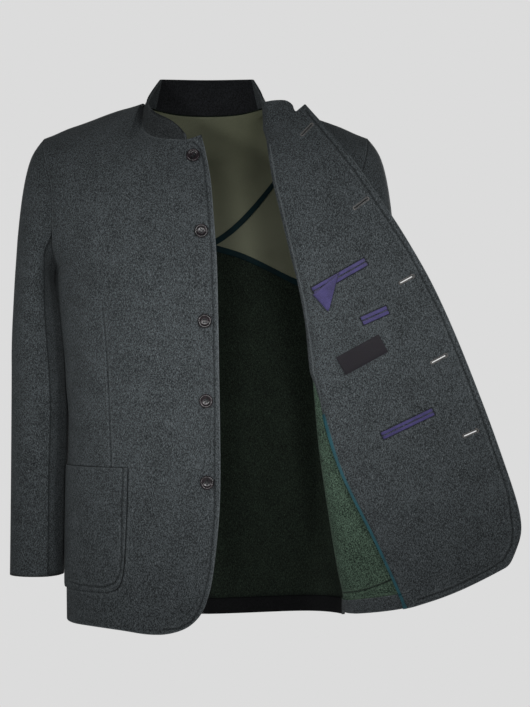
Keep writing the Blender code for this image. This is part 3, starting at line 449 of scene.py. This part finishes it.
def clothShift(points, name, facingFront):
    # soft uneven troughs and ridges, and the fine lines' grooves with painted shade in them and painted
    # highlight on their lips; in millimetres
    shift = np.zeros_like(points)
    paintedShading = np.zeros(len(points))
    look = creaseLook
    for number, crease in enumerate(creases):
        if not name.startswith(crease.get("only", "")):
            continue
        gap, place, deep = lineDistance(points, crease["line"], crease["push"])
        wave = crease.get("wave", 1.0)
        narrow = crease["width"] * (1 + look["widthShare"] * wave * np.sin(look["widthWaves"] * place + number))
        ends = 1.0   # narrow seams keep their depth up to their ends
        if crease["width"] > look["seamWidth"]:
            ends = np.clip(np.minimum(place, 1 - place) / look["endShare"], 0, 1)
        ends = ends * ends * (3 - 2 * ends)
        phase = look["shiftPerCrease"] * number
        uneven = 1 + look["depthShare"] * wave * np.sin(look["depthWaves"] * place + phase)
        near = np.clip(1 - deep / look["reach"], 0, 1)
        size = crease["depth"] * np.exp(-(gap / narrow) ** 2) * ends * uneven * np.minimum(near * 2, 1)
        shift += size[:, None] * np.array(crease["push"])
    for fine in fineLines.get(name, []):
        gap = fineGap(points, fine) / fine["width"]
        shadedHollow = np.exp(-gap ** 2) * facingFront
        raised = np.exp(-((gap - grooveLip["place"]) / grooveLip["width"]) ** 2) * facingFront
        shift += (fine["swell"] * raised - fine["depth"] * shadedHollow)[:, None] * np.array(front)
        # painted shade in the groove, painted highlight on the lip beside it
        paintedShading += fine["shadingTint"] * (grooveLip["shadingTint"] * raised - shadedHollow)
    return shift, paintedShading


# rims are the edges of a cloth's wall
rimAngle = math.radians(48)


def isRim(edge):
    return edge.calc_face_angle(0.0) > rimAngle


def faceGroups(shell, rims):
    # connected faces that no rim edge separates
    group = {}
    count = 0
    for first in shell.faces:
        if first in group:
            continue
        waiting = [first]
        group[first] = count
        while waiting:
            face = waiting.pop()
            for edge in face.edges:
                if edge in rims:
                    continue
                for other in edge.link_faces:
                    if other not in group:
                        group[other] = count
                        waiting.append(other)
        count += 1
    return group


def growRims(shell, rims, reach):
    # sewn edges grow out until they meet; short edges across the wall don't count
    wall = 4.5 * mm
    moves = {}
    for vert in shell.verts:
        ways = [vert.co - edge.other_vert(vert).co for edge in vert.link_edges]
        onRim = [edge in rims for edge in vert.link_edges]
        if not reach or not any(onRim):
            continue
        if sum(onRim) < 3:
            ways = [way for way, rim in zip(ways, onRim) if not rim and way.length > wall]
        else:
            ways = sorted(ways, key=lambda way: way.length)[1:]
        moves[vert] = sum((way.normalized() * reach for way in ways), Vector())
    for vert, move in moves.items():
        vert.co += move


refineLook = dict(passes=2, reach=4, shortest=0.9)


def refine(mesh, lines):
    # smaller faces beside the fine lines, on the side that shows
    for _ in range(refineLook["passes"]):
        shell = bmesh.new()
        shell.from_mesh(mesh)
        shell.normal_update()
        points = np.array([vert.co for vert in shell.verts]) / mm
        near = np.zeros(len(points), bool)
        for fine in lines:
            near |= fineGap(points, fine) < fine["width"] + refineLook["reach"]
        near &= np.array([facesFront(vert.normal) for vert in shell.verts])
        edges = [edge for edge in shell.edges if all(near[vert.index] for vert in edge.verts)
                 and edge.calc_length() > refineLook["shortest"] * mm]
        bmesh.ops.subdivide_edges(shell, edges=edges, cuts=1, use_grid_fill=True)
        shell.to_mesh(mesh)
        shell.free()


def rimVerts(mesh):
    shell = bmesh.new()
    shell.from_mesh(mesh)
    found = sorted({vert.index for edge in shell.edges if isRim(edge) for vert in edge.verts})
    shell.free()
    return found


# free edge of the facing as height, x, how far it is cut back and how the cloth slopes there
facingTrim = np.array([(-700, 273, 4.5, 0.2), (-670, 259, 4.5, 0.2), (-640, 245, 4.5, 0.18),
                       (-600, 225.5, 4.5, 0.16), (-560, 204.8, 4.5, 0.16), (-520, 185.4, 4.8, 0.17),
                       (-480, 169.6, 6.4, 0.32), (-440, 157, 8.4, 0.62), (-420, 154.5, 8.5, 0.7),
                       (-400, 153, 6.0, 0.75), (-380, 152, 0.0, 0.75)])


def trimEdge(spots, look):
    # moves the free edge inwards along the cloth; narrow strips lose part of their width
    edge, cut, slope = [np.interp(spots[:, 2], facingTrim[:, 0], facingTrim[:, k]) for k in (1, 2, 3)]
    across = np.clip((spots[:, 0] - edge) / look["reach"], 0, 1)
    if look["lost"]:
        move = cut * (1 - across) + np.maximum(cut - look["lost"], 0) * across
    else:
        move = cut * (1 - across) ** 2
    return np.stack([move, -slope * move, np.zeros(len(move))], axis=1)


# rims that lie in a seam take neither painted highlight nor painted shade
shoulderSeam = dict(halfWidth=212, neckHalf=60, low=-75, neckLow=-52)
collarPlaces = dict(sewnFrom=30, fold=(36, 44), foldFrom=60, paintedShadeFrom=36)


def shoulderRim(spots):
    aside = np.abs(spots[:, 0])
    low = np.where(aside > shoulderSeam["neckHalf"], shoulderSeam["low"], shoulderSeam["neckLow"])
    return (aside < shoulderSeam["halfWidth"]) & (spots[:, 2] > low)


def collarRim(spots):
    return spots[:, 1] > collarPlaces["sewnFrom"]


def collarFold(spot):
    first, last = collarPlaces["fold"]
    return first < spot.y < last and abs(spot.x) > collarPlaces["foldFrom"]


# back of the inner collar, whose inner wall takes painted shade
def collarBack(spot):
    return spot.y > collarPlaces["paintedShadeFrom"]


def paintInside(shell, rims, piece):
    # second finish on the inner wall, and the hem's turn-up; on the back halves and the inner collar the second
    # finish is painted shade, and so is the back's turn-up
    group = faceGroups(shell, rims)
    middles = {face: face.calc_center_median() / mm for face in shell.faces}
    inner = group[min(shell.faces, key=lambda face: (middles[face] - Vector(piece["probe"])).length)]
    for face in shell.faces:
        if group[face] == inner and ("insideKeep" not in piece or piece["insideKeep"](middles[face])):
            face.material_index = 1
    if "turnUp" not in piece:
        return
    hem = group[min(shell.faces, key=lambda face: middles[face].z)]
    counts = np.bincount([group[face] for face in shell.faces])
    counts[inner] = 0
    outside = (int(np.argmax(counts)), hem)
    hemFaces = [face for face in shell.faces if group[face] == hem]
    turnUp = {other for face in hemFaces for edge in face.edges for other in edge.link_faces}
    turnUp |= {other for face in hemFaces for vert in face.verts for other in vert.link_faces
               if len(other.verts) == 3}
    turnUp = {face for face in turnUp if group[face] not in outside}
    step = {other for face in turnUp for edge in face.edges if edge in rims for other in edge.link_faces}
    turnUp |= {face for face in step if group[face] not in (*outside, inner)}
    for face in turnUp:
        face.material_index = piece["turnUp"]


def plainShell(name, piece):
    # the solid's wall as quads, with its rims and folds kept sharp
    shell = bmesh.new()
    shell.from_mesh(cadNodes[name].data)
    bmesh.ops.remove_doubles(shell, verts=shell.verts[:], dist=0.05 * mm)
    bmesh.ops.join_triangles(shell, faces=shell.faces[:], angle_face_threshold=math.radians(60),
                             angle_shape_threshold=math.radians(180), topology_influence=1.0)
    edgeCrease = shell.edges.layers.float.new("crease_edge")
    cornerCrease = shell.verts.layers.float.new("crease_vert")
    rims = {edge for edge in shell.edges if isRim(edge)}
    for face in shell.faces:
        face.smooth = True
        face.material_index = 0
    if "inside" in piece:
        paintInside(shell, rims, piece)
    for edge in shell.edges:
        if edge in rims:
            edge[edgeCrease] = 1.0
        elif "fold" in piece and all(piece["fold"](vert.co / mm) for vert in edge.verts):
            edge[edgeCrease] = 0.85
    for vert in shell.verts:
        if sum(edge in rims for edge in vert.link_edges) >= 3:
            vert[cornerCrease] = 1.0
    growRims(shell, rims, piece.get("grow", 0.0) * mm)
    return meshOf(name + "_cloth", shell)


def bakeModifiers(thing):
    deps = bpy.context.evaluated_depsgraph_get()
    done = bpy.data.meshes.new_from_object(thing.evaluated_get(deps), depsgraph=deps)
    old = thing.data
    thing.modifiers.clear()
    thing.data = done
    done.name = old.name.split(".")[0]
    bpy.data.meshes.remove(old)


def drape(mesh, name, piece):
    # moves the points into creases and grooves, and keeps the painted shade and highlight that tint the cloth,
    # rims included
    points = np.empty(len(mesh.vertices) * 3)
    mesh.vertices.foreach_get("co", points)
    points = points.reshape(-1, 3)
    facingFront = np.array([facesFront(normal.vector) for normal in mesh.vertex_normals])
    shift, paintedShading = clothShift(points / mm, name, facingFront)
    if "trim" in piece:
        shift += trimEdge(points / mm, piece["trim"])
    points += shift * mm
    mesh.vertices.foreach_set("co", points.ravel())
    mesh.update()
    rims = rimVerts(mesh)
    sewn = piece.get("sewnRim", shoulderRim)(points[rims] / mm)
    # painted highlight along free edges where the rim tint is positive, painted shade along seams where it is
    # negative; rims sewn into a seam get none
    paintedShading[rims] += np.where(sewn, 0.0, piece.get("rimShadingTint", 0.0))
    mesh.attributes.new("paintedShading", "FLOAT", "POINT").data.foreach_set("value", paintedShading)


def clothShell(name, piece):
    mesh = plainShell(name, piece)
    # the third finish, the hem's painted shade, serves the back's turn-up
    for finish in [piece["finish"]] + ([piece["inside"], "hem"] if "inside" in piece else []):
        mesh.materials.append(finishes[finish])
    cloth = addObject(name + "_cloth", mesh)
    smooth = cloth.modifiers.new("smooth", "SUBSURF")
    smooth.levels = smooth.render_levels = piece.get("levels", 2)
    bakeModifiers(cloth)
    refine(cloth.data, fineLines.get(name, []))
    drape(cloth.data, name, piece)
    rounded = cloth.modifiers.new("rounded", "BEVEL")
    rounded.limit_method = "ANGLE"
    rounded.angle_limit = rimAngle
    rounded.width = piece.get("edge", 0.7) * mm
    rounded.segments = 2
    rounded.use_clamp_overlap = True
    bakeModifiers(cloth)
    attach(cloth, "root")
    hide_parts(name)
    return cloth


# cloth pieces: flat sizes in metres, area in square metres, the rest in millimetres
bothBacks = ["back_left", "back_right"]
loden = dict(finish="loden", slot="loden", held="hung", on=["collar_outer"])
bodyPanel = dict(loden, grow=0.3)
# back halves: painted shade on their inner wall, turned-up hem and seam rims
backPanel = dict(bodyPanel, rimShadingTint=-0.6, flat=(0.278, 0.807), area=0.1860, inside="shade", turnUp=2)
# sleeves: painted shade along their seam rims
sleeve = dict(loden, rimShadingTint=-0.9, grow=0.4)
topSleeve = dict(sleeve, flat=(0.354, 0.641), area=0.1223)
underSleeve = dict(sleeve, flat=(0.189, 0.507), area=0.0548)
collar = dict(loden, levels=3, grow=1.25, fold=collarFold, sewnRim=collarRim)
# patch pockets: painted highlight along their edges
patch = dict(loden, rimShadingTint=0.35, held="laid")
lining = dict(finish="satin", slot="satin", held="laid", on=bothBacks, edge=0.25)
tape = dict(finish="binding", slot="binding", held="laid", edge=0.3)
# pocket lips: painted shade along their edges
jetting = dict(finish="jetting", slot="pocket_cloth", held="laid", on=["left_facing"], edge=0.5, rimShadingTint=-0.7)
breastLip = dict(jetting, flat=(0.084, 0.010), area=0.00044)
penLip = dict(jetting, flat=(0.039, 0.010), area=0.00021)
ticketLip = dict(jetting, flat=(0.079, 0.010), area=0.00037)
# the rim tints of the fronts and the facing are painted highlight along their free edges
clothPieces = {
    "right_front": dict(bodyPanel, rimShadingTint=0.6, levels=3, flat=(0.334, 0.823), area=0.2124),
    "left_front": dict(bodyPanel, rimShadingTint=0.5, levels=3, flat=(0.356, 0.822), area=0.2334,
                       inside="reverse", probe=(215, -122, -640), turnUp=0),
    "back_left": dict(backPanel, probe=(60, 90, -450)),
    "back_right": dict(backPanel, probe=(-60, 90, -450)),
    "right_top_sleeve": dict(topSleeve, levels=3, on=["right_front"]),
    "right_under_sleeve": dict(underSleeve, on=["right_front"]),
    "left_top_sleeve": dict(topSleeve, on=["left_front"]),
    "left_under_sleeve": dict(underSleeve, on=["left_front"]),
    # outer collar in the darker copy of the loden as painted shade; its free rims painted highlight
    "collar_outer": dict(collar, finish="collar", rimShadingTint=1.0, flat=(0.546, 0.050), area=0.0168, on=bothBacks),
    # inner collar: painted shade on its inner wall at the back of the neck; its free rims painted highlight
    "collar_inner": dict(collar, rimShadingTint=0.8, flat=(0.539, 0.050), area=0.0166,
                         inside="collarBackPaintedShade", probe=(0, 64, 24), insideKeep=collarBack),
    "left_facing": dict(loden, rimShadingTint=0.6, levels=3, flat=(0.226, 0.746), area=0.1352, held="laid",
                        on=["left_front"], trim=dict(reach=45, lost=0)),
    "right_patch_pocket": dict(patch, levels=3, flat=(0.166, 0.191), area=0.0282, on=["right_front"]),
    "left_patch_pocket": dict(patch, flat=(0.176, 0.230), area=0.0278, on=["left_front"]),
    "back_lining_left": dict(lining, flat=(0.354, 0.245), area=0.0550),
    "back_lining_right": dict(lining, flat=(0.447, 0.241), area=0.0656),
    "back_lining_left_binding": dict(tape, flat=(0.355, 0.013), area=0.0031, on=["back_lining_left"]),
    "back_lining_right_binding": dict(tape, flat=(0.448, 0.014), area=0.0037, on=["back_lining_right"]),
    "facing_binding": dict(tape, finish="tape", flat=(0.010, 0.303), area=0.0016, on=["left_facing"],
                           trim=dict(reach=8.5, lost=4.0)),
    "breast_lip_upper": breastLip,
    "breast_lip_lower": breastLip,
    "pen_lip_upper": penLip,
    "pen_lip_lower": penLip,
    "ticket_lip_upper": ticketLip,
    "ticket_lip_lower": ticketLip,
    "breast_tab": dict(jetting, flat=(0.046, 0.055), area=0.00079),
    "label": dict(finish="label", slot="label_cloth", held="laid", on=["left_facing"], edge=0.4,
                  flat=(0.068, 0.028), area=0.0019),
}
cloths = {name: clothShell(name, piece) for name, piece in clothPieces.items()}
print("cloth pieces:", len(cloths), "faces:", sum(len(cloth.data.polygons) for cloth in cloths.values()))


# sewing

def treeOf(thing):
    mesh = thing.data
    return BVHTree.FromPolygons([v.co for v in mesh.vertices], [p.vertices for p in mesh.polygons])


topstitches = {
    "right_front": frontEdge,
    "left_facing": flapEdge,
    "right_patch_pocket": pocketEdge,
    "collar_outer": collarEdge,
}
stitchLook = dict(pitch=4.4, length=3.1, width=0.6, height=0.45, sink=0.05, longest=8)
trees = {name: treeOf(cloths[name]) for name in topstitches}


def evenPoints(line, pitch):
    line = np.array(line, float)
    steps = np.linalg.norm(np.diff(line, axis=0), axis=1)
    length = np.concatenate(([0.0], np.cumsum(steps)))
    at = np.linspace(0, length[-1], max(2, int(length[-1] / pitch) + 1))
    return np.stack([np.interp(at, length, line[:, k]) for k in range(line.shape[1])], axis=1)


def seat(tree, x, z):
    # the point of the cloth seen from the front at x, z
    spot, normal, _, _ = tree.ray_cast(Vector((x, -600, z)) * mm, Vector((0, 1, 0)))
    return (spot, normal if normal.y < 0 else -normal) if spot is not None else None


def addStitch(sewing, spot, normal, along, length, width, height):
    along = (along - normal * along.dot(normal)).normalized()
    turn = Matrix((along, normal.cross(along), normal)).transposed().to_4x4()
    size = Matrix.Diagonal((length * mm, width * mm, height * mm, 1))
    bmesh.ops.create_uvsphere(sewing, u_segments=6, v_segments=4, radius=0.5,
                              matrix=Matrix.Translation(spot) @ turn @ size)


def finishMesh(name, made, finish):
    mesh = meshOf(name, made)
    mesh.shade_smooth()
    mesh.materials.append(finishes[finish])
    thing = addObject(name, mesh)
    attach(thing, "root")
    return thing


def sewLine(name, line):
    sewing = bmesh.new()
    spots = evenPoints(line, stitchLook["pitch"])
    for (x, z), (nextX, nextZ) in zip(spots, spots[1:]):
        found = seat(trees[name], x, z)
        ahead = seat(trees[name], nextX, nextZ)
        if found and ahead and (ahead[0] - found[0]).length < stitchLook["longest"] * mm:
            middle = (found[0] + ahead[0]) / 2 - found[1] * stitchLook["sink"] * mm
            addStitch(sewing, middle, found[1], ahead[0] - found[0],
                      stitchLook["length"], stitchLook["width"], stitchLook["height"])
    finishMesh(name + "_topstitch", sewing, "thread")


for name, line in topstitches.items():
    sewLine(name, line)
print("topstitching done")


def cutThrough(things, name, made):
    cutter = addObject(name, meshOf(name, made))
    for thing in things:
        cut = thing.modifiers.new(name, "BOOLEAN")
        cut.operation = "DIFFERENCE"
        cut.solver = "EXACT"
        cut.object = cutter
        bakeModifiers(thing)
    bpy.data.objects.remove(cutter, do_unlink=True)


# stitched buttonholes with a fan of stitches round the eye and a bar at the inner end
buttonholeLook = dict(bite=2.6, thread=0.62, step=0.95, height=0.8, lift=0.1, overlap=0.2,
                      slit=1.5, slitShare=0.92, slitDepth=30, fanRadius=2.5, fanAngle=100, fanStitches=11,
                      barGap=0.8, barLift=0.15, barSize=(5.0, 1.3, 1.0))


def cutSlit(slits, first, last, along, length):
    # cut along the line of sight, so that the light behind shows through
    look = buttonholeLook
    middle = (first + last) / 2
    sight = (Vector(viewPoint) - middle).normalized()
    aside = sight.cross(along).normalized()
    turn = Matrix((aside.cross(sight), aside, sight)).transposed().to_4x4()
    size = Matrix.Diagonal((length * look["slitShare"] * mm, look["slit"] * mm, look["slitDepth"] * mm, 1))
    bmesh.ops.create_cube(slits, size=1.0, matrix=Matrix.Translation(middle) @ turn @ size)


def sewButtonhole(sewing, first, last, normal, along, length):
    look = buttonholeLook
    across = normal.cross(along)
    tree = trees["left_facing"]

    def bite(spot, way):
        found = tree.find_nearest(spot)[0]
        addStitch(sewing, found + normal * look["lift"] * mm, normal, way,
                  look["bite"], look["thread"], look["height"])

    beside = look["slit"] / 2 + look["bite"] / 2 - look["overlap"]
    for side in (-1, 1):
        for step in np.arange(0, length, look["step"]):
            bite(first + along * step * mm + across * side * beside * mm, across)
    for angle in np.radians(np.linspace(-look["fanAngle"], look["fanAngle"], look["fanStitches"])):
        way = along * math.cos(angle) + across * math.sin(angle)
        bite(last + way * look["fanRadius"] * mm, way)
    bar = tree.find_nearest(first - along * look["barGap"] * mm)[0]
    addStitch(sewing, bar + normal * look["barLift"] * mm, normal, across, *look["barSize"])


slits = bmesh.new()
sewing = bmesh.new()
for number, (inner, eye) in enumerate(buttonholes):
    first, firstNormal = seat(trees["left_facing"], *inner)
    last, lastNormal = seat(trees["left_facing"], *eye)
    normal = (firstNormal + lastNormal).normalized()
    along = (last - first).normalized()
    length = (last - first).length / mm
    if number >= closedHoles:
        cutSlit(slits, first, last, along, length)
    sewButtonhole(sewing, first, last, normal, along, length)
finishMesh("buttonhole_stitches", sewing, "silk")
cutThrough([cloths["left_facing"], cloths["left_front"]], "slits", slits)
print("buttonholes done")


# horn buttons with a raised rim, four holes and thread; the profile is radius and height
buttonLook = dict(profile=[(0, 2.1), (4.6, 2.1), (5.6, 2.5), (6.6, 3.5), (7.8, 3.95), (8.8, 3.7), (9.5, 3.0),
                           (9.8, 2.0), (9.5, 1.1), (8.6, 0.5), (5, 0.05), (0, 0)],
                  sides=48, lift=0.5, firstTurn=0.35, turnStep=0.4, sharp=38,
                  holes=1.9, holeSize=1.05, drillDepth=20, threadHeight=2.15, threadGap=0.3, threadBite=1.3,
                  threadWidth=0.55, threadThick=0.7, shankSize=1.5, shankLength=1.2, shankDrop=-0.4)


def addPin(made, place, radius, depth, segments):
    bmesh.ops.create_cone(made, cap_ends=True, segments=segments, radius1=radius * mm, radius2=radius * mm,
                          depth=depth * mm, matrix=Matrix.Translation(Vector(place) * mm))


def buttonBody():
    made = bmesh.new()
    ring = [made.verts.new((radius * mm, 0, height * mm)) for radius, height in buttonLook["profile"]]
    edges = [made.edges.new(pair) for pair in zip(ring, ring[1:])]
    bmesh.ops.spin(made, geom=ring + edges, cent=(0, 0, 0), axis=(0, 0, 1), angle=2 * math.pi,
                   steps=buttonLook["sides"], use_merge=True)
    bmesh.ops.remove_doubles(made, verts=made.verts[:], dist=0.02 * mm)
    bmesh.ops.recalc_face_normals(made, faces=made.faces[:])
    return made


def buttonThread():
    look = buttonLook
    thread = bmesh.new()
    for side in (-1, 1):
        for gap in (-look["threadGap"], look["threadGap"]):
            spot = Vector((look["holes"] * side + gap, 0, look["threadHeight"])) * mm
            addStitch(thread, spot, Vector((0, 0, 1)), Vector((0, 1, 0)),
                      2 * look["holes"] + look["threadBite"], look["threadWidth"], look["threadThick"])
    addPin(thread, (0, 0, look["shankDrop"]), look["shankSize"], look["shankLength"], 10)
    return thread


def hornButton(number):
    look = buttonLook
    low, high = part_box("button_%d" % number)
    middle = (Vector(low) + Vector(high)) / 2
    found = trees["right_front"].find_nearest(middle)
    normal = found[1] if found[1].y < 0 else -found[1]
    spin = Matrix.Rotation(look["firstTurn"] + look["turnStep"] * number, 4, "Z")
    turn = normal.to_track_quat("Z", "Y").to_matrix().to_4x4() @ spin
    place = Matrix.Translation(found[0] + normal * look["lift"] * mm) @ turn
    button = finishMesh("horn_button_%d" % number, buttonBody(), "horn")
    drills = bmesh.new()
    for x, y in ((1, 1), (-1, 1), (-1, -1), (1, -1)):
        addPin(drills, (look["holes"] * x, look["holes"] * y, 0), look["holeSize"], look["drillDepth"], 16)
    cutThrough([button], "drills", drills)
    button.data.set_sharp_from_angle(angle=math.radians(look["sharp"]))
    button.data.transform(place)
    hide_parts("button_%d" % number)
    sewn = finishMesh("button_thread_%d" % number, buttonThread(), "thread")
    sewn.data.transform(place)


for number in range(1, 6):
    hornButton(number)
print("buttons done")


# floor, light and camera
stageLook = dict(grey=srgb(220, 220, 220), ambient=0.16, floorDrop=-1.3, reach=2.1, floorGlow=0.26,
                 floorColour=(0.78, 0.78, 0.78, 1), floorRough=0.8)
disc = bmesh.new()
bmesh.ops.create_circle(disc, cap_ends=True, segments=64, radius=stageLook["reach"],
                        matrix=Matrix.Translation((0, 0, stageLook["floorDrop"])))
floor = addObject("floor", meshOf("floor", disc))
paint = bpy.data.materials.new("paleFloor")
paint.use_nodes = True
for key, value in {"Base Color": stageLook["floorColour"], "Roughness": stageLook["floorRough"],
                   "Emission Color": (1, 1, 1, 1), "Emission Strength": stageLook["floorGlow"]}.items():
    paint.node_tree.nodes["Principled BSDF"].inputs[key].default_value = value
floor.data.materials.append(paint)

world = bpy.data.worlds.new("studio")
world.use_nodes = True
wire = Wire(world.node_tree)
grey = (*stageLook["grey"], 1)
seen = wire.node("ShaderNodeLightPath")   # the backdrop is paler than the light it gives
glow = wire.node("ShaderNodeBackground", None, {"Color": grey, "Strength": stageLook["ambient"]})
backdrop = wire.node("ShaderNodeBackground", None, {"Color": grey, "Strength": 1.0})
both = wire.node("ShaderNodeMixShader", None, {0: seen, 1: glow, 2: backdrop})
world.node_tree.links.new(both.socket, world.node_tree.nodes["World Output"].inputs["Surface"])
bpy.context.scene.world = world
bpy.context.scene.view_settings.view_transform = "Standard"

lamps = [
    dict(name="keyHigh", place=(-1.7, -2.45, 0.2), aim=(-0.06, -0.1, -0.18), size=0.4, power=0.26, spread=18),
    dict(name="keyLow", place=(-1.7, -2.45, -0.4), aim=(-0.06, -0.1, -0.56), size=0.4, power=0.15, spread=18),
    dict(name="frontRight", place=(0.5, -2.75, -0.05), aim=(0.0, -0.1, -0.38), size=0.4, power=0.34, spread=22),
    dict(name="frontLeft", place=(-0.28, -2.75, 0.0), aim=(0.02, -0.1, -0.34), size=0.4, power=0.25, spread=22),
    dict(name="fill", place=(1.95, -2.1, 0.3), aim=(0.36, -0.1, -0.33), size=0.5, power=0.5, spread=19),
    dict(name="rearRight", place=(-0.75, 2.8, 0.3), aim=(0.0, 0.1, -0.36), size=0.7, power=1.1, spread=30),
    dict(name="rearLeft", place=(0.75, 2.8, 0.3), aim=(0.05, 0.1, -0.36), size=0.7, power=1.4, spread=30),
]
for look in lamps:
    light = bpy.data.lights.new(look["name"], "AREA")
    light.size = look["size"]
    light.energy = look["power"]
    light.spread = math.radians(look["spread"])
    lamp = addObject(look["name"], light)
    lamp.location = look["place"]
    lamp.rotation_euler = (Vector(look["aim"]) - Vector(look["place"])).to_track_quat("-Z", "Y").to_euler()

cameraLook = dict(focal=105.35, sensor=36, turn=(math.pi / 2, 0, 0))
lens = bpy.data.cameras.new("camera")
lens.lens = cameraLook["focal"]
lens.sensor_width = cameraLook["sensor"]
camera = addObject("camera", lens)
camera.location = viewPoint
camera.rotation_euler = cameraLook["turn"]
bpy.context.scene.camera = camera

print("scene done")
